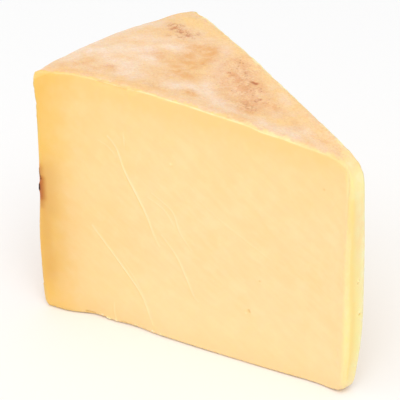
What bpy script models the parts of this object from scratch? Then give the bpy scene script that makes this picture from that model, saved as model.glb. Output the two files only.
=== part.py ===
"""A wedge of farmhouse cheddar, a tenth of a small wheel, cut through its whole height.

The wheel's section stands on the table as a grid and is spun through the cut's angle about
the wheel's axis. The block that this makes is then given the form of a real wedge: a domed
top that falls away at the rind, a rim that sags, a blunt nose, cut faces that belly out a
little, and a front foot that was chipped by the knife.

The wedge lies with its rind towards -X and its nose towards +X. Its front cut face looks
towards -Y, and it stands on z = 0.
"""

import math

import bmesh
import bpy
from mathutils import Matrix, Vector, noise

MM = 0.001
COLLECTION_NAME = "Cheddar wedge"
WEDGE_NAME = "cheese_wedge"

# The wheel and the cut
WHEEL_RADIUS = 130 * MM
CUT_ANGLE = math.radians(36)
HEIGHT_AT_CENTRE = 93.9 * MM
HEIGHT_AT_RIND = 102.6 * MM
TOP_CROWN = 1.6 * MM

# The section's corners: how far each rounding runs along the radius, and up the height
RIND_SHOULDER = (14.6 * MM, 4.7 * MM)
RIND_FOOT = (1.6 * MM, 3.5 * MM)
NOSE_SHOULDER = (9.6 * MM, 11.0 * MM)
NOSE_FOOT = (8.2 * MM, 4.3 * MM)
CUT_EDGE_RADIUS = 1.2 * MM

# The nose is blunt, set back from the wheel's axis, swollen low down and tucked in at its foot.
# A height or a spread without a unit is a share of the wedge's height.
NOSE_START = 0.5 * MM
NOSE_HALF_THICKNESS = 3.4 * MM
NOSE_BLUNTNESS = 4
NOSE_SET_BACK = 4.2 * MM
NOSE_SWELL = 2.8 * MM
NOSE_SWELL_HEIGHT = 0.22
NOSE_SWELL_SPREAD = 0.44
NOSE_TUCK = 1.0 * MM
NOSE_TUCK_SPREAD = 0.13
NOSE_LENGTH = 25 * MM

# The rim sags outwards low down, and its top corners were drawn out by the knife
RIM_SAG = 2.3 * MM
RIM_SAG_HEIGHT = 0.26
RIM_SAG_SPREAD = 0.18
RIM_DEPTH_POWER = 3
TOP_CORNER_OUT = 0.95 * MM
TOP_CORNER_SIDEWAYS = 1.2 * MM
TOP_CORNER_LENGTH = 9 * MM
TOP_CORNER_SPREAD = 0.10

# The cut faces belly out, and the front one's foot flares at the rind and is chipped beside it
FACE_BELLY = 1.6 * MM
FRONT_FLARE = 3.1 * MM
FRONT_FLARE_LENGTH = 22 * MM
FRONT_FLARE_HEIGHT = 14 * MM
FRONT_CHIP = 2.3 * MM
FRONT_CHIP_RADIUS = 106.5 * MM
FRONT_CHIP_LENGTH = 22 * MM
FRONT_NIBBLE = 1.0 * MM
FRONT_NIBBLE_RADIUS = 119.0 * MM
FRONT_NIBBLE_PITCH = 18.6 * MM
BACK_CHIP = 1.6 * MM
BACK_CHIP_RADIUS = 72 * MM
BACK_CHIP_LENGTH = 14 * MM
CHIP_HEIGHT = 8 * MM

# What would hang this little above the table is pressed flat onto it
PRESSED_FLAT = 0.06 * MM

# The unevenness of a cheese that dried on a shelf
UNEVEN_DEPTH = 0.35 * MM
UNEVEN_SIZE = 24 * MM
UNEVEN_START_HEIGHT = 12 * MM
UNEVEN_SEED = 31

# The mesh: rows along the radius, rows up the height and steps through the cut's angle
ROWS_ALONG = 34
ROWS_UP = 26
CUT_STEPS = 18
EDGE_CROWDING = 0.82

PASTE_COLOUR = (0.95, 0.72, 0.38, 1.0)
PASTE_ROUGHNESS = 0.5


def clear_scene():
    for thing in list(bpy.data.objects):
        bpy.data.objects.remove(thing, do_unlink=True)


def crowded(share):
    """A share from 0 to 1, moved so that even steps lie closer together near both ends."""
    return share - EDGE_CROWDING * math.sin(2 * math.pi * share) / (2 * math.pi)


def hill(distance, spread):
    """A smooth hill of height 1 that is gone about two spreads away."""
    return math.exp(-((distance / spread) ** 2))


def spun_block():
    """The section of the wheel as a grid, spun through the cut's angle: a closed block."""
    block = bmesh.new()
    grid = bmesh.ops.create_grid(block, x_segments=ROWS_ALONG, y_segments=ROWS_UP, size=0.5)
    front_cut = Matrix.Rotation(CUT_ANGLE / 2, 3, "Z")
    for vert in grid["verts"]:
        radius = NOSE_START + (WHEEL_RADIUS - NOSE_START) * crowded(vert.co.x + 0.5)
        height = HEIGHT_AT_RIND * crowded(vert.co.y + 0.5)
        vert.co = front_cut @ Vector((-radius, 0, height))
    bmesh.ops.spin(
        block,
        geom=block.verts[:] + block.edges[:] + block.faces[:],
        cent=(0, 0, 0),
        axis=(0, 0, -1),
        angle=CUT_ANGLE,
        steps=CUT_STEPS,
    )
    bmesh.ops.recalc_face_normals(block, faces=block.faces[:])
    return block


def round_corner(point, corner, inwards, reach):
    """Draws a point of the section onto an elliptical corner, if it lies inside that corner's box."""
    centre = [corner[i] + inwards[i] * reach[i] for i in range(2)]
    share = [(centre[i] - point[i]) * inwards[i] / reach[i] for i in range(2)]
    if min(share) <= 0:
        return point
    pull = max(share) / math.hypot(*share)
    return [centre[i] - inwards[i] * reach[i] * share[i] * pull for i in range(2)]


def rounded_section(radius, height):
    """The section's point after its four corners are rounded."""
    point = [radius, height]
    corners = (
        ((WHEEL_RADIUS, HEIGHT_AT_RIND), (-1, -1), RIND_SHOULDER),
        ((WHEEL_RADIUS, 0), (-1, 1), RIND_FOOT),
        ((NOSE_START, HEIGHT_AT_RIND), (1, -1), NOSE_SHOULDER),
        ((NOSE_START, 0), (1, 1), NOSE_FOOT),
    )
    for corner, inwards, reach in corners:
        point = round_corner(point, corner, inwards, reach)
    return point


def local_height(radius):
    """The wedge's height at this radius: it falls towards the nose and is slightly crowned."""
    share = radius / WHEEL_RADIUS
    slope = HEIGHT_AT_CENTRE + (HEIGHT_AT_RIND - HEIGHT_AT_CENTRE) * share
    return slope + TOP_CROWN * 4 * share * (1 - share)


def half_thickness(radius):
    """Half the wedge's thickness: two flat cuts that stay apart at the nose."""
    flat = radius * math.sin(CUT_ANGLE / 2)
    return (flat**NOSE_BLUNTNESS + NOSE_HALF_THICKNESS**NOSE_BLUNTNESS) ** (1 / NOSE_BLUNTNESS)


def edge_draw(depth):
    """How far a cut face is drawn in at this depth from the section's outline, to round its edge."""
    if depth >= CUT_EDGE_RADIUS:
        return 0.0
    return CUT_EDGE_RADIUS - math.sqrt(CUT_EDGE_RADIUS**2 - (CUT_EDGE_RADIUS - depth) ** 2)


def front_foot(radius, height):
    """How far the front cut face's foot stands out: it flares at the rind and is chipped beside it."""
    flare = FRONT_FLARE * hill(WHEEL_RADIUS - radius, FRONT_FLARE_LENGTH) * hill(height, FRONT_FLARE_HEIGHT)
    nibbles = FRONT_NIBBLE * math.cos(2 * math.pi * (radius - FRONT_NIBBLE_RADIUS) / FRONT_NIBBLE_PITCH)
    chipped = hill(radius - FRONT_CHIP_RADIUS, FRONT_CHIP_LENGTH) * hill(height, CHIP_HEIGHT)
    return flare + (nibbles - FRONT_CHIP) * chipped


def back_foot(radius, height):
    """How far the back cut face's foot stands out: it has one shallow chip."""
    return -BACK_CHIP * hill(radius - BACK_CHIP_RADIUS, BACK_CHIP_LENGTH) * hill(height, CHIP_HEIGHT)


def nose_reach(share_up):
    """How far the nose's end stands beyond the wheel's axis at this share of the height."""
    swell = NOSE_SWELL * hill(share_up - NOSE_SWELL_HEIGHT, NOSE_SWELL_SPREAD)
    tuck = NOSE_TUCK * hill(share_up, NOSE_TUCK_SPREAD)
    return swell - tuck - NOSE_SET_BACK


def rim_reach(share_up):
    """How far the rim stands out beyond the wheel's radius at this share of the height."""
    sag = RIM_SAG * hill(share_up - RIM_SAG_HEIGHT, RIM_SAG_SPREAD)
    return sag + TOP_CORNER_OUT * hill(1 - share_up, TOP_CORNER_SPREAD)


def face_reach(turn, radius, height, share_up):
    """How far a cut face stands out from its flat cut."""
    belly = FACE_BELLY * math.sin(math.pi * share_up)
    corner = TOP_CORNER_SIDEWAYS * hill(WHEEL_RADIUS - radius, TOP_CORNER_LENGTH)
    foot = front_foot(radius, height) if turn < 0 else back_foot(radius, height)
    return belly + (foot + corner * hill(1 - share_up, TOP_CORNER_SPREAD)) * abs(turn)


def wedge_point(block_point):
    """The place in the finished wedge of a point of the spun block."""
    block_radius = math.hypot(block_point.x, block_point.y)
    turn = math.atan2(block_point.y, -block_point.x) / (CUT_ANGLE / 2)
    radius, height = rounded_section(block_radius, block_point.z)
    if height < PRESSED_FLAT:
        height = 0.0
    share_up = height / HEIGHT_AT_RIND
    height = share_up * local_height(radius)

    out = rim_reach(share_up) * (radius / WHEEL_RADIUS) ** RIM_DEPTH_POWER
    out -= nose_reach(share_up) * hill(radius, NOSE_LENGTH)

    half = half_thickness(radius) + face_reach(turn, radius, height, share_up)
    if abs(turn) > 1 - 0.5 / CUT_STEPS:
        from_nose = block_radius - NOSE_START
        from_rim = WHEEL_RADIUS - block_radius
        from_top = HEIGHT_AT_RIND - block_point.z
        depth = max(min(from_nose, from_rim, from_top, block_point.z), 0.0)
        sideways = math.copysign(half - edge_draw(depth), turn)
    else:
        sideways = turn * (half - CUT_EDGE_RADIUS)
    return Vector((-(radius + out) * math.cos(turn * CUT_ANGLE / 2), sideways, height))


def unevenness(point):
    """Low waves over the whole wedge, which fade out where it stands."""
    fade = min(max(point.z / UNEVEN_START_HEIGHT, 0.0), 1.0)
    return UNEVEN_DEPTH * fade * noise.noise_vector(point / UNEVEN_SIZE)


def centred(block):
    """Moves the wedge so that the middle of its outline's box is over the origin."""
    for axis in (0, 1):
        places = [vert.co[axis] for vert in block.verts]
        middle = (min(places) + max(places)) / 2
        for vert in block.verts:
            vert.co[axis] -= middle


def paste_material():
    material = bpy.data.materials.new("Cheddar paste")
    material.use_nodes = True
    shader = material.node_tree.nodes["Principled BSDF"]
    shader.inputs["Base Color"].default_value = PASTE_COLOUR
    shader.inputs["Roughness"].default_value = PASTE_ROUGHNESS
    shader.inputs["Metallic"].default_value = 0.0
    return material


def wedge_object(collection):
    block = spun_block()
    for vert in block.verts:
        vert.co = wedge_point(vert.co)
        vert.co += unevenness(vert.co)
    centred(block)
    mesh = bpy.data.meshes.new(WEDGE_NAME)
    block.to_mesh(mesh)
    block.free()
    mesh.shade_smooth()
    mesh.materials.append(paste_material())
    wedge = bpy.data.objects.new(WEDGE_NAME, mesh)
    collection.objects.link(wedge)
    return wedge


def main():
    clear_scene()
    noise.seed_set(UNEVEN_SEED)
    collection = bpy.data.collections.new(COLLECTION_NAME)
    bpy.context.scene.collection.children.link(collection)
    wedge_object(collection)


main()
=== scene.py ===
"""A wedge of farmhouse cheddar, modelled over its solid, marked, coloured and set on its stage.

The wheel's section is stood up as a grid, drawn to the cheese's profile and spun through the
cut. The block is subdivided and wrapped on the solid, which gives it the solid's form on a
fine, even mesh. Knife scratches, pits, curd and the dry rind are then worked into that mesh,
and the same strokes colour it.

The file is laid out as an add-on: sizes and colours are scene properties, the wedge and the
stage have an operator each, and a panel in the sidebar lists them.
"""

import math
import random
from collections import namedtuple
from functools import partial

import bmesh
import bpy
import numpy as np
from bpy.props import FloatProperty, FloatVectorProperty, PointerProperty
from bpy.types import Operator, Panel, PropertyGroup, Scene
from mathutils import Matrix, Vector


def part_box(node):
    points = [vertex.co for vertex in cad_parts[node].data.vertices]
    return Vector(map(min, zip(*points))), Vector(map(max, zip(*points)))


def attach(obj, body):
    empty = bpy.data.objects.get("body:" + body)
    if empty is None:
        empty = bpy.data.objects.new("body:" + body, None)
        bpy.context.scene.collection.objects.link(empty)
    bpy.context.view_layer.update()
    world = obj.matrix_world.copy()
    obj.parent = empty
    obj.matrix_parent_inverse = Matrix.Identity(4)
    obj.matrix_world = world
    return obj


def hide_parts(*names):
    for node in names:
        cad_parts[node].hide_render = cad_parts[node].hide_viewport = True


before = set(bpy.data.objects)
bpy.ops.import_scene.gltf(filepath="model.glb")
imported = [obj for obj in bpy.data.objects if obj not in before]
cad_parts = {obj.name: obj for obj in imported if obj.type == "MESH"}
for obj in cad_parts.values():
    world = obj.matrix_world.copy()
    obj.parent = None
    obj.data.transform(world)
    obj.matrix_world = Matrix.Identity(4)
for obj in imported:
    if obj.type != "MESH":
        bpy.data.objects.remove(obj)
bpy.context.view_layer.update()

bl_info = {
    "name": "Cheddar wedge",
    "version": (1, 0, 0),
    "blender": (4, 5, 0),
    "location": "3D View > Sidebar > Cheddar",
    "description": "Models a wedge of cheddar over its solid, and the stage that it stands on",
    "category": "Add Mesh",
}

MM = 0.001
SOLID = "cheese_wedge"
PIECE = "cheddar_wedge"
BODY = "root"
LOW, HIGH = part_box(SOLID)

# The block's grid: faces along the section, up it, and through the cut. Its vertices are picked
# by their place, to within this distance.
COLUMNS = 34
ROWS = 27
CUT_STEPS = 15
SAME_PLACE = 0.5 * MM

# How often the block is subdivided, and how often it and the edges of its nose are smoothed
SURFACE_LEVELS = 2
SMOOTHINGS = 12
NOSE_SMOOTHINGS = 60
SMOOTHING_FACTOR = 0.5

# The nose stays blunt by a high power, swells low down and is tucked in at its foot; the rim
# sags low down. A height or a spread here is a share of the wedge's height.
NOSE_BLUNTNESS = 4
NOSE_SWELL_HEIGHT = 0.22
NOSE_SWELL_SPREAD = 0.44
NOSE_TUCK_SPREAD = 0.13
RIM_SAG_HEIGHT = 0.26
RIM_SAG_SPREAD = 0.18

# A face that looks this squarely to the side is cut, and this squarely ahead is the nose
CUT_FACING = 0.9
NOSE_FACING = 0.75

# Corners of the solid's mesh that are nearer than this are one corner
WELD = 0.001 * MM

# An edge that turns by more than this stays sharp, unless it is as far ahead as the soft nose
SHARP_EDGE = math.radians(50)
SOFT_FROM = 45 * MM

# The block's last wrap stands this far off the solid, which makes up for what smoothing took
WRAP_OFFSET = 0.12 * MM

# Vertex groups: the block's surfaces and what a modifier works on, and the least weight in that
PASTE = "paste"
CUT_EDGE = "cut edge and highlight"
WORKED = "worked"
LEAST_WEIGHT = 0.002

# The masks that the materials read from the mesh
ATTRIBUTES = (
    "rind", "cut_edge_and_highlight", "scratch", "burr", "hole", "crumb", "gold", "pale",
    "burn", "stain", "brown", "bloom", "yellow", "pit", "crack", "mould",
)

# A face is split where a stroke is at least this strong, and takes the rind's material where
# the rind's mask or the mould's is
MARKED = 0.03
COVERED = 0.005

# The relief fades out this high above the floor, and the underside keeps this share of it
FLOOR_FADE = 3 * MM
UNDERSIDE_SHARE = 0.3

# The heights between which the front cut face begins to lean back, and does so in full
LEAN_HEIGHTS = (45 * MM, 101 * MM)

# The wheel in the wedge's frame, for the colours that follow its rind: its axis, its radius,
# the top's height at the axis and the top's slope, and how ragged the coloured bands are
AXIS_TO_ORIGIN = (-67.04 * MM, -0.27 * MM, 0)
RIM_RADIUS = 131 * MM
TOP_AT_AXIS = 94.5 * MM
TOP_SLOPE = 0.06
EDGE_RAGGEDNESS = 3 * MM

# The ways that the wire dragged the paste and that the cloth marked the rind, and how far the
# clouds are drawn out along them
DRAG_TURN = (0, math.radians(35), math.radians(18))
DRAG_STRETCH = 4
CLOTH_TURN = (0, 0, math.radians(68))
CLOTH_STRETCH = 1.8

# The cheese lets a little light in, and the red of it goes furthest
CHEESE_LOOK = {
    "Specular IOR Level": 0.3,
    "Subsurface Weight": 0.3,
    "Subsurface Radius": (1.0, 0.62, 0.25),
    "Subsurface Scale": 3 * MM,
}
PASTE_ROUGHNESS = (0.44, 0.56)
RIND_ROUGHNESS = (0.5, 0.82)

# The clouds that break up the colours: their size in mm, the noise between which they fade in,
# and their detail
CLOUDS = {
    "ragged": (7, 0.35, 0.65, 2.0),
    "broad": (14, 0.25, 0.75, 2.0),
    "milky": (6, 0.4, 0.75, 3.0),
    "dragged": (2.4, 0.3, 0.7, 3.0),
    "uneven": (4, 0.35, 0.65, 2.0),
    "curd": (2.6, 0.35, 0.65, 3.0),
    "patches": (9, 0.38, 0.62, 3.0),
    "streaks": (2.6, 0.36, 0.66, 4.0),
    "blots": (3.4, 0.38, 0.62, 4.0),
    "grain": (0.9, 0.36, 0.68, 2.0),
    "flecks": (0.7, 0.5, 0.72, 1.0),
    "swirls": (2.2, 0.3, 0.7, 2.0),
}

# The colours that the paste's node group is given. PasteColours holds them by the same names.
PASTE_COLOURS = (
    "Paste", "Cloud", "Milk", "Gold", "Burn", "Butter", "Foot", "Nose", "Nose gold", "Cut edge and highlight",
    "Scratch", "Groove", "Hole",
)

# The paste's bands of colour: what each is measured by, the two distances in mm between which
# it fades out, its share where it is strongest, and its colour
PASTE_BANDS = (
    ("height", 0, 13, 0.6, "Foot"),
    ("height", 12, 46, 0.35, "Milk"),
    # This wide, weak band is painted shade, which darkens the upper cut faces against the light
    # that the leaning front face catches
    ("under top", 5, 40, 0.35, "Butter"),
    ("under top", 1, 12, 0.9, "Butter"),
    ("from rim", 0, 60, 0.35, "Gold"),
    ("from rim", 0, 21, 1.0, "Gold"),
)

# Where the nose's colour begins and is full, and how far that moves back high up, where the
# nose leans. A fade is the two values that it runs between, and what it runs from and to.
# The nose's colour is its yellower paste, lightened further as painted light falling on and
# through the thin nose
NOSE_FADE = (62 * MM, 65.4 * MM)
LEAN_FADE = (70 * MM, 92 * MM, 0, 3 * MM)

# How strong the painted highlight on the cut's edge is: by height, away from the rim, and at the
# nose
EDGE_HIGHLIGHT_BY_HEIGHT = (70 * MM, 86 * MM, 0.12, 0.9)
EDGE_HIGHLIGHT_FROM_RIM = (10 * MM, 70 * MM, 0.35, 0.85)
EDGE_HIGHLIGHT_AT_NOSE = (100 * MM, 120 * MM, 1.0, 0.4)

# How strongly the paste's clouds and small marks show, and its fine relief
MILK_SHARE = 0.4
DRAGGED_SHARE = 0.3
UNEVEN_EDGE_HIGHLIGHT = (0.5, 1.0)
# A scratch's pale burr is painted highlight on its lit side, and its darker groove is painted
# shade
BURR_SHARE = 0.9
GROOVE_SHADE_SHARE = 0.5
PASTE_GRAIN = {"Scale": 1 / (0.9 * MM), "Detail": 3.0}
CURD_RELIEF = 0.6
PASTE_BUMP = {"Strength": 0.25, "Distance": 0.06 * MM}

# The rind's pores and pits, the noise between which its curls fade, how dry it is away from the
# brown patches and in them, and its fine relief, the last where it is worn to the paste
RIND_PORES = {"Size": 1.4 * MM, "Share": 0.35, "Width": 0.3}
PIT_SHARE = (0.5, 1.6)
CURL_FADE = (0.08, 0.32, 1, 0)
DRYNESS = (0.1, 0.9)
STREAK_RELIEF = 0.4
GRAIN_RELIEF = 0.7
FLECK_RELIEF = 0.4
RIND_BUMP = {"Strength": 0.7, "Distance": 0.16 * MM}
WORN_RELIEF = 0.25

# Where the rind gives way to the paste and to mould, and how ragged its edge is
RIND_FADE = (0.2, 0.95)
MOULD_FADE = (0.1, 0.7)
RAGGED_BY_BLOTS = (-0.2, 0.2)
RAGGED_BY_GRAIN = (-0.08, 0.08)

# The rind's clouds and how strongly each tints it, under its stretches and over them
RIND_TINTS = (("patches", 0.4, "bloom"), ("streaks", 0.22, "tan"))
GRAIN_TINT = 0.22

# The rind's stretches: the painted mask, the clouds that break it up, its share where they are
# thinnest and thickest, and its colour
RIND_LAYERS = (
    ("yellow", "patches", 0.95, 0.6, "yellow"),
    ("bloom", "streaks", 1.0, 0.75, "bloom"),
    ("stain", "blots", 0.5, 0.95, "tan"),
    ("brown", "blots", 0.3, 0.8, "brown"),
)

# The stage
FLOOR_LOOK = {
    "Base Color": (0.95, 0.95, 0.95, 1),
    "Roughness": 0.9,
    "Specular IOR Level": 0.2,
}
FLOOR_GAP = 0.05 * MM
KEY_DIRECTION = (0.35, -0.35, 0.87)
FILL_DIRECTION = (-0.6, -0.9, 0.45)
LIGHT_DISTANCE = 3.0
LIGHT_WIDTH = 2.0
SENSOR_WIDTH = 36
CLIP_START = 10 * MM


# ---------------------------------------------------------------- marks on the wedge

# A stroke is a soft line or dab on one side of the wedge. Its points are in mm, in the two
# directions that its side is drawn in, and at its radius it has faded to a third.
Stroke = namedtuple("Stroke", "side radius strength points")

# Each side of the wedge: the two axes that it is drawn in, and the way that it faces
Side = namedtuple("Side", "across up facing")
SIDES = {
    "front": Side(0, 2, (0.31, -0.95, 0.0)),
    "back": Side(0, 2, (0.31, 0.95, 0.0)),
    "top": Side(0, 1, (0.0, 0.0, 1.0)),
    "under": Side(0, 1, (0.0, 0.0, -1.0)),
    "rim": Side(1, 2, (-1.0, 0.0, 0.0)),
    "nose": Side(1, 2, (1.0, 0.0, 0.0)),
    "near edge": Side(1, 2, (1.6, -1.0, 0.0)),
    "far edge": Side(1, 2, (1.6, 1.0, 0.0)),
    "rim corner": Side(1, 2, (-1.2, -0.6, 0.8)),
    "front top": Side(0, 1, (0.5, -1.5, 1.5)),
}
FACING_LEAST = 0.55

# A stroke is gone this many radii away, and a tapered one runs over this part of an arch
STROKE_REACH = 3
TAPER_SPAN = (0.06, 0.94)


def strokes_on(side, *drawn):
    """Strokes on one side, each given as its radius, its strength and its points."""
    return tuple(Stroke(side, radius, strength, points) for radius, strength, *points in drawn)


# Fine scratches that the wire and the wrapping left in the cut faces
SCRATCHES = strokes_on(
    "front",
    (0.38, 1, (-29.4, 80.9), (-25.4, 77), (-21.7, 69.3), (-13.6, 55), (-10, 46), (-8, 42)),
    (0.3, 0.35, (-32.9, 78.4), (-29.9, 77.4), (-27.2, 75.6), (-25.7, 73.8)),
    (0.38, 1, (-35, 43), (-24, 28.5), (-16, 17), (-12.5, 4.5)),
    (0.3, 0.45, (-23.6, 31), (-18, 22.6), (-14.4, 14.5)),
    (0.36, 0.8, (-7, 47), (-1.5, 40), (2, 32), (5, 24), (6.5, 22)),
    (0.3, 0.6, (-11, 63), (-3, 58), (0, 50.5), (4.5, 44)),
    (0.3, 0.45, (-12.6, 61), (-6, 57.6), (-2, 52)),
    (0.3, 0.4, (-22.9, 83.8), (-22.1, 79)),
    (0.3, 0.3, (8, 65), (15, 60), (34.5, 49)),
    (0.3, 0.6, (-28, 10), (-28.6, 5), (-28.4, 1.5)),
) + strokes_on(
    "back",
    (0.38, 1, (-34, 76), (-22, 66), (-8, 50), (2, 34)),
    (0.36, 0.8, (-14, 84), (-2, 72), (14, 62)),
    (0.3, 0.6, (10, 46), (20, 36), (34, 30)),
    (0.3, 0.5, (-44, 40), (-38, 30), (-26, 22)),
)

# Small holes in the paste, and nicks in its foot
PINHOLES = strokes_on(
    "front",
    (0.42, 0.6, (27, 25), (27.2, 24.4)),
    (0.38, 0.45, (31, 39)),
    (0.38, 0.3, (52, 82)),
    (0.45, 0.7, (-40.3, 1.5), (-37.6, 1.2)),
    (0.6, 0.4, (-33.9, 0.6)),
    (0.5, 0.4, (-25.8, 1), (-22.8, 0.9)),
) + strokes_on(
    "back",
    (0.5, 0.8, (12, 22), (12.5, 21)),
    (0.4, 0.5, (-20, 34)),
    (0.45, 0.6, (38, 66)),
) + strokes_on(
    "nose",
    (0.45, 0.6, (2, 34.2)),
    (0.4, 0.4, (1.1, 47.3)),
)

# Pale crumbs that stand out of the paste
CRUMBS = strokes_on(
    "nose",
    (0.5, 1, (1.6, 35.4)),
    (0.45, 0.9, (1.1, 48.2)),
    (0.4, 0.7, (1.3, 11.8)),
) + strokes_on(
    "front",
    (0.5, 0.6, (-3.4, 76.4)),
    (0.45, 0.4, (26, 23.6)),
    (0.5, 1, (-34.2, 1.6)),
    (0.5, 1, (-31.8, 1.2), (-31, 1)),
    (0.5, 1, (-28.2, 1.2)),
    (0.4, 0.6, (-20.6, 1.2)),
    (0.5, 0.9, (-12.6, 1.6)),
    (0.4, 0.7, (-9, 1.4)),
) + strokes_on(
    "back",
    (0.5, 0.7, (-8, 70)),
    (0.4, 0.7, (24, 2)),
)

# Brown pits and cracks in the rind: broken rings near the rim, and a cluster further in
RIND_PITS = strokes_on(
    "top",
    (0.6, 0.45, (-49.3, 20.9), (-49.7, 22.2), (-49.3, 23.5)),
    (0.6, 0.5, (-48.6, 24), (-47.6, 24.3)),
    (0.5, 0.3, (-45.9, 24.4), (-44.8, 24.2)),
    (0.5, 0.35, (-43.6, 23.7), (-42.9, 22.5)),
    (1, 0.65, (-46.6, 19.2), (-46.5, 20.6)),
    (0.6, 0.35, (-47.7, 18), (-47.3, 19)),
    (0.6, 0.35, (-43.3, 19.2), (-42.7, 20.2)),
    (1, 0.6, (-42, 19.6), (-40.6, 19.3)),
    (0.9, 0.5, (-39.8, 19.3), (-37.6, 19.4)),
    (0.6, 0.4, (-39.5, 16.1), (-38.9, 16.7)),
    (0.6, 0.45, (-37, 16.4), (-36.5, 17)),
    (0.5, 0.3, (-35.4, 19.3), (-34.7, 19.7)),
    (0.7, 0.2, (-43.9, 14.2), (-42.9, 14.9)),
    (0.6, 0.3, (-37.8, 21.3), (-38.5, 22.4)),
    (0.8, 0.45, (-37, 22.9), (-36.8, 23.7)),
    (0.5, 0.35, (-36.4, 21.7), (-35.8, 22.8)),
    (0.8, 0.85, (4.8, 11.3), (3.4, 11.2)),
    (0.6, 0.5, (2.4, 11.8), (2, 11.4)),
    (0.55, 0.7, (13.6, 2), (13.6, 4.4)),
    (0.45, 0.6, (12.3, -3.4), (12.5, -2.6)),
    (0.45, 0.55, (14, -3.6), (14.4, -2.4)),
    (0.45, 0.6, (15.5, -3.9), (16.2, -3.6)),
    (0.4, 0.4, (14.7, -1.7), (15.4, -1.6)),
    (0.4, 0.4, (13.7, -5.9)),
    (0.4, 0.35, (16.5, 3.2), (16.7, 3.8)),
    (0.45, 0.4, (-3.5, 14.3), (-2.9, 14)),
    (0.4, 0.35, (-7.2, 14)),
    (0.4, 0.4, (-1.8, 9.9)),
    (0.5, 0.3, (-4.9, 8.4), (-4.6, 9.6)),
    (0.4, 0.35, (0.5, 7), (1.2, 7.4)),
    (0.5, 0.35, (-17, 7.4), (-17.6, 7.2)),
    (0.4, 0.4, (-38, -19)),
    (0.4, 0.4, (-16.7, -19.3)),
)

# Where the rind has cracked into fine brown curls
CRACKS = strokes_on(
    "top",
    (1.9, 0.75, (-49, 21.6), (-46.6, 22.6)),
    (1.7, 0.8, (-45.4, 20), (-42.4, 20.4), (-38.4, 19.8)),
    (1.4, 0.6, (-36.8, 22.4)),
    (1.6, 0.3, (-43, 15.4), (-38, 17.4)),
    (2.6, 0.55, (12.6, -2.8), (15.6, -3.2)),
    (3, 0.3, (-3, 13), (3, 9), (8, 6)),
    (1.6, 0.2, (-38.4, -19), (-35.6, -20.4)),
    (1.6, 0.3, (-17.6, -19.6), (-16, -19)),
)

# Orange stains of the rind
STAINS = strokes_on(
    "top",
    (2.6, 0.6, (-51.6, -31.3), (-48.8, -27.2), (-47.3, -22.3)),
    (1.7, 0.5, (-48, -34.6), (-42.5, -31.8), (-38.6, -30.2)),
    (2.2, 0.4, (-41.6, -24), (-40.4, -20.3), (-36.8, -21.1)),
    (2.6, 0.5, (-35, 2), (-29.4, -0.9), (-26, 0)),
    (3.8, 0.9, (-29, 14.6), (-26, 15.1), (-22, 14)),
    (3.4, 1, (-25, 18.6), (-20.4, 14.3), (-19.6, 10)),
    (4.2, 0.9, (-26, 8), (-24, 5), (-20, 3)),
    (1.8, 1, (-18.2, 7.6), (-16.8, 6.8)),
    (3.4, 0.9, (-22.4, -2.6), (-18, -4.2), (-14.4, -2.8)),
    (2.6, 0.5, (-20.2, -9.6), (-16, -7)),
    (2.2, 1, (-5.8, -12.2), (-3.2, -12.8)),
    (3, 0.6, (17, 3), (21, 3)),
    (2.4, 0.4, (-28, -27.4), (-18.4, -23.4), (-11, -19)),
    (2.4, 0.6, (16, -7), (18, -6)),
    (1.6, 0.3, (21.8, 2.9), (28.7, 3), (36.1, -0.1)),
    (1.4, 0.5, (43, 0.2), (47, 0.4)),
)

# Brown, dried patches of the rind
BROWNS = strokes_on(
    "top",
    (3.2, 0.4, (-49, 21), (-43, 20), (-38, 20.4)),
    (4.6, 0.7, (-10, 18), (-4, 14.6)),
    (4.6, 0.9, (-6.8, 11), (-1, 8.4), (3.8, 5)),
    (4, 0.8, (3, 10.5), (8, 8)),
    (4.6, 0.8, (8, 3), (13, -1), (15.6, -3.2)),
    (4, 0.5, (15, 3), (19, 3.5)),
    (7.5, 0.5, (-10, 15), (-1, 4), (9, -1)),
    (1.8, 0.4, (-39, -2), (-35, 1), (-32.5, -1)),
    (1.4, 0.3, (-38.6, -19.5), (-35.5, -20.5)),
)

# Pale, chalky bloom of the rind
BLOOMS = strokes_on(
    "top",
    (5, 0.9, (-56.5, -24), (-60, -10), (-61, 3)),
    (4, 0.8, (-60, 8), (-57, 18)),
    (5, 1, (-54.6, -15), (-48, -9), (-44.5, -5.2), (-39, 0.8)),
    (4.4, 0.8, (-46.5, -12), (-42.8, -15.7), (-35, -13)),
    (4, 0.5, (-50, 4), (-46, 8), (-40, 8)),
    (3.6, 0.9, (-38, 7), (-33, 9.6)),
    (3.6, 0.9, (-36, -5), (-33, -3.6)),
    (4, 0.7, (-32, -19), (-26, -17)),
    (3.4, 0.9, (-12, -13), (-8, -9), (-2, -9)),
    (2.6, 0.3, (-17, 16), (-14, 11)),
    (3.4, 1, (-5, -4), (1, -8), (6, -9.5)),
    (2, 0.4, (0.8, -12.4), (12, -10.5), (20, -8)),
    (3, 0.55, (26, -7.7), (32, -6.5), (38, -5)),
    (2.4, 0.5, (36.4, 1), (41.7, -0.5), (50, -1.9)),
    (2, 0.45, (16.4, 12.4), (22, 9.6)),
    (2.4, 0.5, (-22, 22), (-18, 19.5)),
)

# Yellowish stretches of the rind: the corner at the back, the back edge and the nose's end
YELLOWS = strokes_on(
    "top",
    (5, 1, (-54, 33), (-46, 30), (-40, 29)),
    (3.2, 0.9, (-38, 29.5), (-27, 27), (-12, 22)),
    (3.2, 0.9, (-12, 22), (2, 18), (14.4, 14), (28, 9.6)),
    (4, 0.8, (20, 8), (34, 5), (48, 2)),
    (4, 0.3, (-14, 6), (-10, 1), (-6, -1)),
    (3, 0.7, (19, -7), (23, -5), (30, -1)),
    (2.4, 0.8, (-28, -28), (-18.4, -24), (-11, -20)),
    (2, 0.6, (-50, -34), (-40, -31), (-28, -28)),
)

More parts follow.
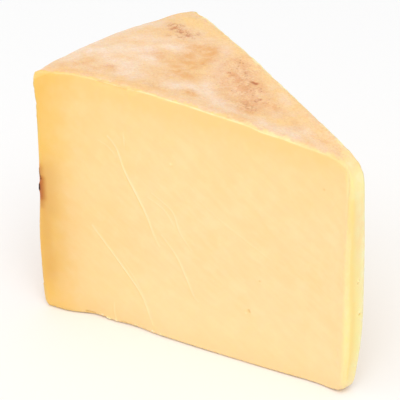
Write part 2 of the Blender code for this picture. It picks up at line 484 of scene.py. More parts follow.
# The dried and darkened stretch where the front cut face meets the rim
RIM_BURNS = strokes_on(
    "front",
    (2.5, 1, (-55.8, 57.5), (-55.8, 49.6)),
    (2.2, 0.6, (-55.8, 62), (-55.8, 46)),
    (7, 0.3, (-54.5, 59), (-54.5, 46)),
    (4, 0.25, (-54.8, 46), (-54.6, 32)),
    (5, 0.24, (-54.6, 28), (-53.8, 16)),
    (10, 0.13, (-53, 52), (-52, 16)),
) + strokes_on(
    "rim",
    (2.6, 0.8, (-41, 60), (-41, 51)),
    (3.4, 0.35, (40, 74), (40, 67)),
) + strokes_on(
    "back",
    (3, 0.35, (-56.4, 74), (-56.4, 66)),
    (8, 0.24, (-55, 80), (-55, 60)),
    (9, 0.14, (-54, 60), (-53, 22)),
)

# Specks of mould where the rim meets the front cut face
MOULD = strokes_on(
    "front",
    (0.8, 1, (-56.7, 54.4), (-56.7, 52.8)),
    (0.6, 0.5, (-56.3, 61.5), (-56, 59.6), (-55.6, 58.4)),
    (0.5, 0.6, (-55.6, 58.4), (-55.3, 57.6)),
) + strokes_on(
    "rim",
    (1.1, 1, (-41, 54.2), (-41, 52.6)),
    (0.6, 0.5, (-38.4, 57.6)),
    (0.6, 0.5, (23, 70.6)),
)

# The deeper yellow line down the nose: painted shade where the rounded nose turns from the light
NOSE_SHADE = strokes_on(
    "nose",
    (1.7, 0.9, (-2.3, 80), (-2.3, 56), (-2, 40)),
    (1.7, 1, (-1.6, 40), (-1.8, 22), (-1.6, 8)),
)

# Where the rind is worn down to the paste at the nose, and rough along the top's edges
WORN = strokes_on(
    "top",
    (5.5, 1, (60, -2), (62, 0), (60, 2)),
    (1, 0.5, (30, -10.6), (44, -6.2), (56, -2.8)),
    (0.7, 0.3, (-8, -22.6), (4, -18.8), (18, -14.4), (30, -10.6)),
    (1.6, 0.6, (40, 8), (54, 4)),
    (1.4, 0.5, (-46, 36), (-30, 31.5), (-8, 24), (14, 17)),
)

# Paler, drier paste and painted highlight: the worn edges of the top, and the front edge, far edge
# and shoulder of the nose
PALES_AND_HIGHLIGHTS = strokes_on(
    "top",
    (1.3, 0.6, (18, -14.4), (30, -10.6), (44, -6.2), (52, -3.6)),
    (2.2, 1, (-46, 36), (-30, 31.5), (-8, 24), (14, 17), (40, 8), (54, 4)),
    (3.4, 0.6, (57, 0), (61, 0)),
) + strokes_on(
    "front",
    (0.8, 0.3, (63, 68), (64, 43), (64.9, 22), (64, 6)),
) + strokes_on(
    "nose",
    (3, 0.7, (0.5, 92), (1.5, 82)),
    (2.6, 0.5, (1.5, 82), (1.5, 68)),
    (1.8, 1, (3.8, 86), (3.8, 40), (3.4, 4)),
    (2, 0.4, (0.5, 12), (0.5, 4)),
)

# The top swells at its corners and along its front edge. It sinks beside its back corner, and
# the knife left small nicks in its front edge.
SWELLS = strokes_on(
    "top",
    (4.5, 0.33, (-60, -30), (-57, -38)),
    (2.6, 0.5, (-57.4, -40.2)),
    (5.5, 0.48, (-60, 32), (-58.2, 38.5)),
    (4, 0.22, (40, 8), (50, 4.6)),
) + strokes_on(
    "front top",
    (9, 0.2, (-34, -32.3), (-26, -29.7)),
    (10, 0.5, (-17, -26.8), (-12, -25.2)),
    (10, 0.64, (-4, -22.8), (6, -19.5)),
    (8, 0.62, (10, -18), (22, -14.2)),
    (6, 0.25, (32, -11), (36, -9.6)),
)
HOLLOWS = strokes_on(
    "back",
    (4, 0.6, (-57, 98), (-52, 98)),
) + strokes_on(
    "top",
    (3, 0.5, (-53.5, 37.4), (-50.5, 36.4)),
) + strokes_on(
    "front",
    (1.4, 0.4, (-34, 101.2), (-32.4, 101)),
    (1.2, 0.35, (-29.6, 100.9), (-28.8, 100.9)),
    (1.6, 0.45, (-25.6, 100.7), (-23.6, 100.6)),
    (1.2, 0.3, (-19, 100.4)),
)

# The near corner of the top is drawn out towards the rim
CORNERS = strokes_on(
    "rim corner",
    (2.2, 1, (-40.4, 100)),
)

# The front cut face leans back towards its top
LEANS = strokes_on(
    "front top",
    (5, 0.5, (-51, -38.4), (-49, -37.6)),
    (9, 1, (-43, -35.2), (-28, -30.4)),
    (9, 0.7, (-16, -26.4), (-13, -25.6)),
    (8, 0.3, (-4, -22.8), (-2, -22)),
)

# The two edges of the nose, which are smoothed to round them
NOSE_EDGES = strokes_on(
    "near edge",
    (2.4, 1, (-4, 2), (-4, 84)),
) + strokes_on(
    "far edge",
    (1.6, 0.6, (4.4, 2), (4.4, 84)),
)


# The sides of the rind that get their strokes at random, and the bounds of those in mm
RANDOM_SIDES = (("rim", (-40, 40), (4, 96)), ("under", (-60, 55), (-36, 36)))

# Each kind of mark on the rind: the drawn strokes, and the count, radius, strength and greatest
# length of the random ones on each of those sides
RIND_KINDS = {
    "stain": (STAINS, 12, (2, 4), (0.4, 1), 10),
    "brown": (BROWNS, 8, (2.5, 5), (0.4, 0.9), 8),
    "bloom": (BLOOMS, 14, (3, 6), (0.5, 1), 9),
    "yellow": (YELLOWS, 6, (3, 5), (0.4, 1), 10),
    "pit": (RIND_PITS, 12, (0.8, 1.1), (0.2, 0.5), 3),
    "crack": (CRACKS, 3, (1.5, 2.5), (0.2, 0.4), 4),
}
RANDOM_LENGTHS = (0.3, 1.0)

# How many times wider than its strokes the place is where the mesh is made finer for a mark
FINE_ROUND_SCRATCHES = 1.5
FINE_ROUND_SPOTS = 1.3
FINE_ROUND_PITS = 1.2


def beside(strokes, across=0.55, up=0.25):
    """The same strokes, moved aside, in mm."""
    moved = []
    for stroke in strokes:
        points = tuple((x + across, y + up) for x, y in stroke.points)
        moved.append(stroke._replace(points=points))
    return moved


def scattered(side, across, up, count, radius, strength, length, seed):
    """Short strokes at random places of one side, between the given bounds in mm."""
    draw = random.Random(seed)
    strokes = []
    for _ in range(count):
        start = Vector((draw.uniform(*across), draw.uniform(*up)))
        turn = draw.uniform(0, math.pi)
        reach = length * draw.uniform(*RANDOM_LENGTHS)
        end = start + reach * Vector((math.cos(turn), math.sin(turn)))
        strokes.append(Stroke(side, draw.uniform(*radius), draw.uniform(*strength), (start, end)))
    return strokes


def rind_marks():
    """The strokes of each kind on the rind. The rim and the underside get theirs at random."""
    marks = {}
    for number, (name, (drawn, *random_ones)) in enumerate(RIND_KINDS.items()):
        marks[name] = list(drawn)
        for side, across, up in RANDOM_SIDES:
            marks[name] += scattered(side, across, up, *random_ones, seed=f"{number} {side}")
    return marks


def drawn_line(points, step=0.5):
    """The stroke's points, joined by a smooth curve and set out at even small steps."""
    knots = [np.array(point, float) for point in points]
    if len(knots) == 1:
        return np.array(knots)
    line = []
    for i in range(len(knots) - 1):
        before = knots[max(i - 1, 0)]
        start, end = knots[i], knots[i + 1]
        after = knots[min(i + 2, len(knots) - 1)]
        count = max(int(np.linalg.norm(end - start) / step), 1)
        for share in np.arange(count) / count:
            bend = 0.5 * (end - before), 0.5 * (after - start)
            line.append(
                start * (2 * share**3 - 3 * share**2 + 1)
                + bend[0] * (share**3 - 2 * share**2 + share)
                + end * (3 * share**2 - 2 * share**3)
                + bend[1] * (share**3 - share**2)
            )
    line.append(knots[-1])
    return np.array(line)


def stroke_weights(strokes, places, normals, widen=1.0, taper=False):
    """How strongly the strokes mark each vertex, from 0 to 1."""
    weights = np.zeros(len(places))
    for stroke in strokes:
        side = SIDES[stroke.side]
        line = drawn_line(stroke.points) * MM
        reach = STROKE_REACH * stroke.radius * widen * MM
        flat = places[:, (side.across, side.up)]
        near = normals @ np.array(side.facing) > FACING_LEAST
        near &= (flat > line.min(0) - reach).all(1) & (flat < line.max(0) + reach).all(1)
        if not near.any():
            continue
        gaps = np.linalg.norm(flat[near][:, None, :] - line[None, :, :], axis=2)
        nearest = gaps.argmin(1)
        mark = np.exp(-((gaps.min(1) / (stroke.radius * widen * MM)) ** 2)) * stroke.strength
        if taper and len(line) > 1:
            mark *= np.sin(math.pi * np.clip(nearest / (len(line) - 1), *TAPER_SPAN)) ** 0.5
        weights[near] = np.maximum(weights[near], mark)
    return weights


# ---------------------------------------------------------------- sizes and colours

def srgb(red, green, blue):
    """A colour as it is seen on screen, from 0 to 255, as the shader's linear colour."""
    shares = [value / 255 for value in (red, green, blue)]
    return [s / 12.92 if s <= 0.04045 else ((s + 0.055) / 1.055) ** 2.4 for s in shares]


def length_property(name, description, millimetres):
    return FloatProperty(
        name=name,
        description=description,
        default=millimetres * MM,
        unit="LENGTH",
        subtype="DISTANCE",
    )


def colour_property(name, description, red, green, blue):
    return FloatVectorProperty(
        name=name,
        description=description,
        default=srgb(red, green, blue),
        min=0,
        max=1,
        subtype="COLOR",
    )


def corner_property(name, description, along, away):
    return FloatVectorProperty(
        name=name,
        description=f"{description}, inwards and up or down",
        size=2,
        default=(along * MM, away * MM),
        unit="LENGTH",
    )


class WedgeSizes(PropertyGroup):
    """The form of the block that is wrapped on the solid."""

    cut_angle: FloatProperty(
        name="Cut", description="Angle between the cuts", default=math.radians(36), subtype="ANGLE"
    )
    wheel_radius: length_property("Wheel radius", "From the wheel's axis to its rind", 130)
    centre_height: length_property("Centre height", "Height at the wheel's axis", 93.9)
    rind_height: length_property("Rind height", "Height at the wheel's rind", 102.6)
    crown: length_property("Crown", "How far the top bulges between rim and nose", 1.6)
    rind_shoulder: corner_property("Rind shoulder", "Rounding of the top at the rind", 14.6, 4.7)
    nose_shoulder: corner_property("Nose shoulder", "Rounding of the top at the nose", 9.6, 11.0)
    nose_foot: corner_property("Nose foot", "Rounding of the foot at the nose", 8.2, 4.3)
    nose_start: length_property("Nose start", "From the wheel's axis to the nose", 0.5)
    nose_thickness: length_property("Nose thickness", "Thickness of the blunt nose", 6.8)
    nose_lean: length_property("Nose lean", "How far the nose leans back at its top", 2.6)
    nose_tuck: length_property("Nose tuck", "How far the nose's foot is drawn in", 1.0)
    rim_sag: length_property("Rim sag", "How far the rim bulges out low down", 2.3)
    belly: length_property("Belly", "How far a cut face bulges half way up", 1.6)
    axis_aside: length_property("Axis aside", "How far the axis lies to the back", 0.27)
    clearance: length_property("Clearance", "How far the block stands off the solid", 0.2)
    edge_width: length_property("Edge width", "Width of the band round each cut", 1.2)


class ReliefSizes(PropertyGroup):
    """How deep the small relief of the surface goes."""

    swell_height: length_property("Swells", "Height of the form's slight swells", 2.2)
    corner_reach: length_property("Corner", "How far the near corner is drawn out", 1.3)
    lean_depth: length_property("Lean", "How far the front cut face leans back", 2.5)
    lump_height: length_property("Rind lumps", "Height of the rind's broad lumps", 0.5)
    lump_size: length_property("Rind lump size", "Width of the rind's broad lumps", 9)
    wrinkle_height: length_property("Rind wrinkles", "Height of the rind's wrinkles", 0.26)
    wrinkle_size: length_property("Rind wrinkle size", "Width of the rind's wrinkles", 3.2)
    nick_height: length_property("Nicks", "Height of the cut edges' unevenness", 0.75)
    nick_size: length_property("Nick size", "Width of the cut edges' unevenness", 2.6)
    curd_height: length_property("Curd", "Height of the paste's unevenness", 0.12)
    curd_size: length_property("Curd size", "Width of the paste's unevenness", 7)
    scratch_depth: length_property("Scratches", "Depth of the knife's scratches", 0.16)
    burr_height: length_property("Burrs", "Height of the burr beside a scratch", 0.16)
    hole_depth: length_property("Holes", "Depth of the holes in the paste", 0.6)
    pit_depth: length_property("Pits", "Depth of the rind's pits", 0.45)
    crumb_height: length_property("Crumbs", "Height of the loose crumbs", 0.4)
    mould_height: length_property("Mould", "Height of the black mould", 0.45)


class PasteColours(PropertyGroup):
    """The colours of the cut cheese."""

    paste: colour_property("Paste", "The cut cheese", 253, 216, 159)
    cloud: colour_property("Cloud", "Darker clouds in the paste", 252, 214, 153)
    milk: colour_property("Milk", "Paler clouds in the paste", 255, 226, 172)
    gold: colour_property("Gold", "The paste near the rind of the rim", 243, 196, 101)
    burn: colour_property("Burn", "The darkened paste at the rim", 184, 102, 36)
    # Also laid wide and weak below the top as painted shade
    butter: colour_property("Butter", "The paste just under the top", 254, 209, 138)
    foot: colour_property("Foot", "The paste near the foot", 250, 208, 148)
    # Yellower paste, lightened further as painted light falling on and through the thin nose
    nose: colour_property("Nose", "The paste at the nose", 255, 235, 159)
    # Painted shade down the nose, where the rounded nose turns from the light
    nose_gold: colour_property("Nose gold", "The deeper line down the nose", 255, 224, 142)
    # Painted highlight on the rounded cut edge, over slightly paler paste; the pale strokes take
    # it too
    cut_edge_and_highlight: colour_property("Cut edge and highlight", "The line along the top's cut edge", 255, 241, 189)
    # Painted highlight on the lit side of a scratch's burr; the pale crumbs take it too
    scratch: colour_property("Scratch", "The pale burr of a scratch", 255, 238, 192)
    # Painted shade in the groove of a scratch
    groove: colour_property("Groove", "The groove of a scratch", 248, 208, 136)
    hole: colour_property("Hole", "Inside a small hole", 226, 178, 96)


class RindColours(PropertyGroup):
    """The colours of the rind."""

    rind: colour_property("Rind", "The dry rind", 244, 206, 158)
    bloom: colour_property("Bloom", "Chalky bloom", 250, 226, 203)
    yellow: colour_property("Yellow", "Yellowish stretches", 252, 212, 150)
    tan: colour_property("Tan", "Orange stains", 234, 175, 111)
    brown: colour_property("Brown", "Brown, dried patches", 231, 168, 118)
    pit: colour_property("Pit", "Inside a pit", 196, 124, 82)
    mould: colour_property("Mould", "Black mould", 30, 18, 12)


class StageSizes(PropertyGroup):
    """The floor, the lights and the camera."""

    floor_size: length_property("Floor", "Width of the floor", 6000)
    key_power: FloatProperty(
        name="Key light", description="Power of the large soft light", default=34.0, unit="POWER"
    )
    fill_power: FloatProperty(
        name="Fill light", description="Power of the light on the left", default=8.0, unit="POWER"
    )
    sky_strength: FloatProperty(
        name="Sky", description="Strength of the even light from all round", default=0.75
    )
    azimuth: FloatProperty(
        name="Azimuth",
        description="How far the camera stands round the wedge",
        default=math.radians(45.13),
        subtype="ANGLE",
    )
    elevation: FloatProperty(
        name="Elevation",
        description="How high the camera stands above the floor",
        default=math.radians(30.42),
        subtype="ANGLE",
    )
    distance: length_property("Distance", "From the camera to what it looks at", 563.6)
    target: FloatVectorProperty(
        name="Target",
        description="What the camera looks at",
        default=(-12.41 * MM, 0.27 * MM, 49.06 * MM),
        unit="LENGTH",
        subtype="TRANSLATION",
    )
    lens: FloatProperty(
        name="Lens", description="Focal length of the camera, in millimetres", default=135
    )


# ---------------------------------------------------------------- modelling helpers

def enter(mode):
    bpy.ops.object.mode_set(mode=mode)


def deselect_all():
    if bpy.context.mode != "OBJECT":
        enter("OBJECT")
    bpy.ops.object.select_all(action="DESELECT")


def make_active(thing):
    deselect_all()
    thing.select_set(True)
    bpy.context.view_layer.objects.active = thing


def select(thing, kind, chosen):
    """Selects the vertices, edges or faces of a mesh in edit mode that pass the test."""
    bpy.ops.mesh.select_mode(type=kind)
    shape = bmesh.from_edit_mesh(thing.data)
    for part in {"VERT": shape.verts, "EDGE": shape.edges, "FACE": shape.faces}[kind]:
        part.select_set(bool(chosen(part)))
    shape.select_flush_mode()
    bmesh.update_edit_mesh(thing.data)


def crease_edges(thing):
    """Creases the sharp edges of a mesh in edit mode, all but those of the soft nose."""

    def is_sharp(edge):
        ahead = max(vert.co.x for vert in edge.verts)
        return ahead < SOFT_FROM and edge.calc_face_angle(0) > SHARP_EDGE

    select(thing, "EDGE", is_sharp)
    bpy.ops.transform.edge_crease(value=1.0)


def apply_modifier(thing, kind, **settings):
    """Adds a modifier and applies it."""
    make_active(thing)
    modifier = thing.modifiers.new(kind.title(), kind)
    for name, value in settings.items():
        setattr(modifier, name, value)
    bpy.ops.object.modifier_apply(modifier=modifier.name)


def mesh_arrays(thing):
    """The places and the normals of a mesh's vertices."""
    count = len(thing.data.vertices)
    places, normals = np.zeros(count * 3), np.zeros(count * 3)
    thing.data.vertices.foreach_get("co", places)
    thing.data.vertices.foreach_get("normal", normals)
    return places.reshape(-1, 3), normals.reshape(-1, 3)


def group_weights(thing, name):
    """A vertex group's weights, for all vertices in order."""
    index = thing.vertex_groups[name].index
    weights = np.zeros(len(thing.data.vertices))
    for vert in thing.data.vertices:
        for element in vert.groups:
            if element.group == index:
                weights[vert.index] = element.weight
    return weights


def apply_through(thing, weights, kind, **settings):
    """Applies a modifier that works on each vertex by its weight."""
    group = thing.vertex_groups.new(name=WORKED)
    for index in np.nonzero(weights > LEAST_WEIGHT)[0]:
        group.add([int(index)], float(weights[index]), "REPLACE")
    apply_modifier(thing, kind, vertex_group=WORKED, **settings)
    thing.vertex_groups.remove(thing.vertex_groups[WORKED])


def set_attribute(thing, name, values):
    """A float attribute, for a material to read."""
    attribute = thing.data.attributes.new(name, "FLOAT", "POINT")
    attribute.data.foreach_set("value", np.asarray(values, np.float32))


def get_attribute(thing, name):
    values = np.zeros(len(thing.data.vertices), np.float32)
    thing.data.attributes[name].data.foreach_get("value", values)
    return values


def smooth_step(low, high, values):
    share = np.clip((values - low) / (high - low), 0, 1)
    return share * share * (3 - 2 * share)


# ---------------------------------------------------------------- the wedge's mesh

def hill(distance, spread):
    """A smooth hill of height 1 that is gone about two spreads away."""
    return math.exp(-((distance / spread) ** 2))


def corner_drop(distance, reach):
    """How far an elliptical corner has fallen away at this distance from its end."""
    along, away = reach
    if distance >= along:
        return 0.0
    return away * (1 - math.sqrt(1 - (1 - max(distance, 0) / along) ** 2))


def column_radius(sizes, column):
    """From the wheel's axis to this column of the block, whose last one is the rim's."""
    rim = sizes.wheel_radius + sizes.clearance
    return sizes.nose_start + (rim - sizes.nose_start) * column / COLUMNS


def column_span(sizes, column):
    """The heights of this column's foot and top."""
    radius = column_radius(sizes, column)
    share = radius / sizes.wheel_radius
    from_nose = radius - sizes.nose_start
    top = sizes.centre_height + (sizes.rind_height - sizes.centre_height) * share
    crown = sizes.crown * 4 * share * (1 - share)  # fullest half way out
    top += crown + sizes.clearance
    top -= corner_drop(sizes.wheel_radius - radius, sizes.rind_shoulder)
    top -= corner_drop(from_nose, sizes.nose_shoulder)
    return corner_drop(from_nose, sizes.nose_foot) - sizes.clearance, top


def inner_half_thickness(sizes, radius):
    """Half the block's thickness at this radius, within the bands round its cut faces."""
    cut = radius * math.sin(sizes.cut_angle / 2)
    nose = sizes.nose_thickness / 2
    half = (cut**NOSE_BLUNTNESS + nose**NOSE_BLUNTNESS) ** (1 / NOSE_BLUNTNESS)
    return half + sizes.belly / 2 - sizes.edge_width


def lean_wall(thing, sizes, column, on_wall, reach):
    """Moves the wall at one end of the block along its length, row by row."""
    foot, top = column_span(sizes, column)
    for row in range(ROWS + 1):
        height = foot + (top - foot) * row / ROWS
        select(
            thing, "VERT", lambda vert: on_wall(vert.co) and abs(vert.co.z - height) < SAME_PLACE
        )
        bpy.ops.transform.translate(value=(reach(height / sizes.rind_height), 0, 0))


def profiled_section(sizes):
    """The section as an upright grid, each column drawn to the height of the cheese there."""
    first, last = column_radius(sizes, 0), column_radius(sizes, COLUMNS)
    bpy.ops.mesh.primitive_grid_add(
        x_subdivisions=COLUMNS, y_subdivisions=ROWS, size=1, rotation=(math.pi / 2, 0, 0)
    )
    section = bpy.context.object
    section.name = PIECE
    section.data.name = PIECE
    bpy.ops.object.transform_apply(rotation=True)
    enter("EDIT")
    bpy.ops.mesh.select_all(action="SELECT")
    bpy.ops.transform.resize(value=(last - first, 1, 1), center_override=(0, 0, 0))
    bpy.ops.transform.translate(value=(-(first + last) / 2, 0, 0.5))
    for column in range(COLUMNS + 1):
        radius = column_radius(sizes, column)
        foot, top = column_span(sizes, column)
        select(section, "VERT", lambda vert: abs(vert.co.x + radius) < SAME_PLACE)
        bpy.ops.transform.resize(value=(1, 1, top - foot), center_override=(0, 0, 0))
        bpy.ops.transform.translate(value=(0, 0, foot))
    lean_wall(
        section,
        sizes,
        COLUMNS,
        lambda co: co.x < SAME_PLACE - last,
        lambda up: -sizes.rim_sag * hill(up - RIM_SAG_HEIGHT, RIM_SAG_SPREAD),
    )
    enter("OBJECT")
    return section


def spin_and_thin(section, sizes):
    """Spins the section through the cut, and draws each column to the thickness there."""
    half_angle = sizes.cut_angle / 2
    first, last = column_radius(sizes, 0), column_radius(sizes, COLUMNS)
    half_column = (last - first) / COLUMNS / 2
    section.rotation_euler.z = half_angle
    bpy.ops.object.transform_apply(rotation=True)
    enter("EDIT")
    bpy.ops.mesh.select_all(action="SELECT")
    bpy.ops.mesh.spin(steps=CUT_STEPS, angle=2 * half_angle, center=(0, 0, 0), axis=(0, 0, 1))
    for column in range(COLUMNS + 1):
        radius = column_radius(sizes, column)
        outermost = radius + (half_column if column < COLUMNS else sizes.wheel_radius)
        inmost = radius - half_column
        select(section, "VERT", lambda vert: inmost < vert.co.xy.length < outermost)
        thinner = inner_half_thickness(sizes, radius) / (radius * math.sin(half_angle))
        bpy.ops.transform.resize(value=(1, thinner, 1), center_override=(0, 0, 0))
    lean_wall(
        section,
        sizes,
        0,
        lambda co: co.x > -half_column,
        lambda up: sizes.nose_lean * (hill(up - NOSE_SWELL_HEIGHT, NOSE_SWELL_SPREAD) - 1)
        - sizes.nose_tuck * hill(up, NOSE_TUCK_SPREAD),
    )
    bpy.ops.mesh.select_all(action="SELECT")
    bpy.ops.mesh.normals_make_consistent(inside=False)
    enter("OBJECT")


def is_cut(face):
    return abs(face.normal.y) > CUT_FACING


def is_nose(face):
    return face.normal.x > NOSE_FACING


def banded_block(sizes):
    """The spun block with a narrow band round each cut face, and its surfaces as vertex groups."""
    block = profiled_section(sizes)
    spin_and_thin(block, sizes)
    enter("EDIT")
    select(block, "FACE", is_cut)
    bpy.ops.mesh.extrude_region_shrink_fatten(
        TRANSFORM_OT_shrink_fatten={"value": sizes.edge_width}
    )
    bpy.ops.mesh.inset(thickness=sizes.edge_width)
    select(block, "FACE", lambda face: is_cut(face) or is_nose(face))
    block.vertex_groups.new(name=PASTE)
    bpy.ops.object.vertex_group_assign()
    select(block, "FACE", is_cut)
    bpy.ops.mesh.region_to_loop()
    block.vertex_groups.new(name=CUT_EDGE)
    block.vertex_groups.active_index = block.vertex_groups[CUT_EDGE].index
    bpy.ops.object.vertex_group_assign()
    enter("OBJECT")
    nose = max(vert.co.x for vert in block.data.vertices)
    block.location = (HIGH.x - nose, sizes.axis_aside, 0)
    bpy.ops.object.transform_apply(location=True)
    enter("EDIT")
    crease_edges(block)
    enter("OBJECT")
    return block


def smooth_solid():
    """A copy of the solid as one smooth surface, for the block to be wrapped on."""
    deselect_all()
    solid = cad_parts[SOLID]
    guide = bpy.data.objects.new("guide", solid.data.copy())
    bpy.context.scene.collection.objects.link(guide)
    make_active(guide)
    enter("EDIT")
    bpy.ops.mesh.select_all(action="SELECT")
    bpy.ops.mesh.remove_doubles(threshold=WELD)
    bpy.ops.mesh.tris_convert_to_quads()
    crease_edges(guide)
    enter("OBJECT")
    apply_modifier(guide, "SUBSURF", levels=1, render_levels=1)
    return guide


def wrapped_block(sizes):
    """The block, subdivided and wrapped on the solid."""
    block = banded_block(sizes)
    apply_modifier(block, "SUBSURF", levels=SURFACE_LEVELS, render_levels=SURFACE_LEVELS)
    guide = smooth_solid()
    wrap = {"target": guide, "wrap_method": "NEAREST_SURFACEPOINT"}
    apply_modifier(block, "SHRINKWRAP", **wrap)
    apply_modifier(block, "SMOOTH", factor=SMOOTHING_FACTOR, iterations=SMOOTHINGS)
    apply_modifier(block, "SHRINKWRAP", wrap_mode="ABOVE_SURFACE", offset=WRAP_OFFSET, **wrap)
    bpy.data.meshes.remove(guide.data)
    nose_edges = stroke_weights(NOSE_EDGES, *mesh_arrays(block))
    rounding = {"factor": SMOOTHING_FACTOR, "iterations": NOSE_SMOOTHINGS}
    apply_through(block, nose_edges, "SMOOTH", **rounding)
    return block


# ---------------------------------------------------------------- the wedge's marks and relief

def refine_near(wedge, strokes, widen, rounds=1):
    """Splits the faces that the strokes touch, so that the marks have fine edges."""
    for _ in range(rounds):
        places, normals = mesh_arrays(wedge)
        marked = stroke_weights(strokes, places, normals, widen) > MARKED
        make_active(wedge)
        enter("EDIT")
        select(wedge, "FACE", lambda face: any(marked[vert.index] for vert in face.verts))
        bpy.ops.mesh.subdivide(number_cuts=1)
        enter("OBJECT")


def raise_marks(wedge, weights, height, **settings):
    """Raises the surface by the height times the weights, or sinks it where that is below 0."""
    settings = {"mid_level": 0.0, **settings}
    apply_through(wedge, weights, "DISPLACE", strength=height, **settings)


def roughen(wedge, name, weights, height, size):
    """Makes the surface uneven with clouds of the given size, as much up as down."""
    texture = bpy.data.textures.new(name, "CLOUDS")
    texture.noise_scale = size
    settings = {"texture": texture, "texture_coords": "LOCAL", "mid_level": 0.5}
    raise_marks(wedge, weights, height, **settings)


def keep_inside(wedge):
    """Presses any lump that stands out of the solid's box back to it."""
    places, _ = mesh_arrays(wedge)
    places = np.clip(places, LOW, HIGH)
    wedge.data.vertices.foreach_set("co", places.ravel())
    wedge.data.update()


def wedge_masks(wedge):
    """How strongly each kind of mark covers each vertex."""
    places, normals = mesh_arrays(wedge)
    kinds = {
        **rind_marks(),
        "hole": PINHOLES,
        "crumb": CRUMBS,
        "gold": NOSE_SHADE,
        "pale": PALES_AND_HIGHLIGHTS,
        "burn": RIM_BURNS,
        "mould": MOULD,
        "swell": SWELLS,
        "hollow": HOLLOWS,
        "lean": LEANS,
        "corner": CORNERS,
    }
    masks = {name: stroke_weights(strokes, places, normals) for name, strokes in kinds.items()}
    masks["scratch"] = stroke_weights(SCRATCHES, places, normals, taper=True)
    masks["burr"] = stroke_weights(beside(SCRATCHES), places, normals, taper=True)
    masks["paste"] = group_weights(wedge, PASTE)
    masks["cut_edge_and_highlight"] = group_weights(wedge, CUT_EDGE)
    worn = stroke_weights(WORN, places, normals)
    masks["rind"] = np.clip(1 - masks["paste"] - worn, 0, 1)
    return masks


def marked_wedge(wedge, depths):
    """Works the marks into the mesh and keeps them as attributes for the materials."""
    in_front = [stroke for stroke in SCRATCHES if stroke.side == "front"]
    refine_near(wedge, SCRATCHES, widen=FINE_ROUND_SCRATCHES)
    refine_near(wedge, in_front, widen=FINE_ROUND_SCRATCHES)
    refine_near(wedge, [*PINHOLES, *CRUMBS, *MOULD], widen=FINE_ROUND_SPOTS, rounds=2)
    refine_near(wedge, RIND_PITS, widen=FINE_ROUND_PITS)
    masks = wedge_masks(wedge)
    for name in ATTRIBUTES:
        set_attribute(wedge, name, masks[name])

    places, _ = mesh_arrays(wedge)
    off_the_floor = smooth_step(0, FLOOR_FADE, places[:, 2])
    high_up = smooth_step(*LEAN_HEIGHTS, places[:, 2])
    raise_marks(wedge, masks["swell"] * high_up, depths.swell_height, direction="Z")
    raise_marks(wedge, masks["corner"], -depths.corner_reach, direction="X")
    raise_marks(wedge, masks["lean"] * high_up, depths.lean_depth, direction="Y")
    raise_marks(wedge, masks["hollow"], -depths.swell_height)

    rind = 1 - masks["paste"]
    rind *= UNDERSIDE_SHARE + (1 - UNDERSIDE_SHARE) * off_the_floor
    edge, paste = masks["cut_edge_and_highlight"] * off_the_floor, masks["paste"] * off_the_floor
    roughen(wedge, "lumps", rind, depths.lump_height, depths.lump_size)
    roughen(wedge, "wrinkles", rind, depths.wrinkle_height, depths.wrinkle_size)
    roughen(wedge, "nicks", edge, depths.nick_height, depths.nick_size)
    roughen(wedge, "curd", paste, depths.curd_height, depths.curd_size)

    heights = {
        "scratch": -depths.scratch_depth,
        "burr": depths.burr_height,
        "hole": -depths.hole_depth,
        "pit": -depths.pit_depth,
        "crumb": depths.crumb_height,
        "mould": depths.mould_height,
    }
    for name, height in heights.items():
        raise_marks(wedge, masks[name], height)
    keep_inside(wedge)


# ---------------------------------------------------------------- shader helpers

# A Mix node has several sockets of one name, so the ones for colours are told by their places
MIX_FACTOR, MIX_BELOW, MIX_ABOVE = 0, 6, 7
MIX_RESULT = 2


def feed(tree, node, sockets):
    """Links or sets each named socket of a node."""
    for name, value in sockets.items():
        if isinstance(value, bpy.types.NodeSocket):
            tree.links.new(value, node.inputs[name])
        else:
            node.inputs[name].default_value = value


def put(tree, kind, sockets=None, **settings):
    """Adds a node, with its settings, and with each named socket linked or set."""
    node = tree.nodes.new(kind)
    for name, value in settings.items():
        setattr(node, name, value)
    feed(tree, node, sockets or {})
    return node


def mix(tree, share, below, above):
    """One colour laid over another by a share."""
    sockets = {MIX_FACTOR: share, MIX_BELOW: below, MIX_ABOVE: above}
    return put(tree, "ShaderNodeMix", sockets, data_type="RGBA").outputs[MIX_RESULT]


def maths(tree, operation, *values):
    return put(tree, "ShaderNodeMath", dict(enumerate(values)), operation=operation).outputs[0]


def times(tree, mask, share):
    return maths(tree, "MULTIPLY", mask, share)


def strongest(tree, mask, *others):
    for other in others:
        mask = maths(tree, "MAXIMUM", mask, other)
    return mask


def fade(tree, value, low, high, to_low=0.0, to_high=1.0):
    """Goes smoothly from one number to another while the value goes from low to high."""
    sockets = {
        "Value": value, "From Min": low, "From Max": high, "To Min": to_low, "To Max": to_high
    }
    node = put(tree, "ShaderNodeMapRange", sockets, interpolation_type="SMOOTHSTEP")
    return node.outputs["Result"]


def painted(tree, name):
    """A mask that was painted on the mesh."""
    return put(tree, "ShaderNodeAttribute", attribute_name=name).outputs["Fac"]


def new_group(name, inputs, output):
    """A shader node group: its tree, its inputs and its one output."""
    group = bpy.data.node_groups.new(name, "ShaderNodeTree")
    for socket, (kind, value) in inputs.items():
        made = group.interface.new_socket(socket, in_out="INPUT", socket_type=kind)
        if value is not None:
            made.default_value = value
    socket, kind = output
    group.interface.new_socket(socket, in_out="OUTPUT", socket_type=kind)
    given = group.nodes.new("NodeGroupInput").outputs
    result = group.nodes.new("NodeGroupOutput").inputs[socket]
    return group, given, result


def use_group(tree, group, sockets):
    return put(tree, "ShaderNodeGroup", sockets, node_tree=group).outputs[0]


def stretched(tree, vector, turn, stretch):
    """The coordinates turned, and drawn out along their first axis."""
    sockets = {"Vector": vector, "Rotation": turn, "Scale": (stretch, 1, 1)}
    return put(tree, "ShaderNodeMapping", sockets, vector_type="TEXTURE").outputs[0]


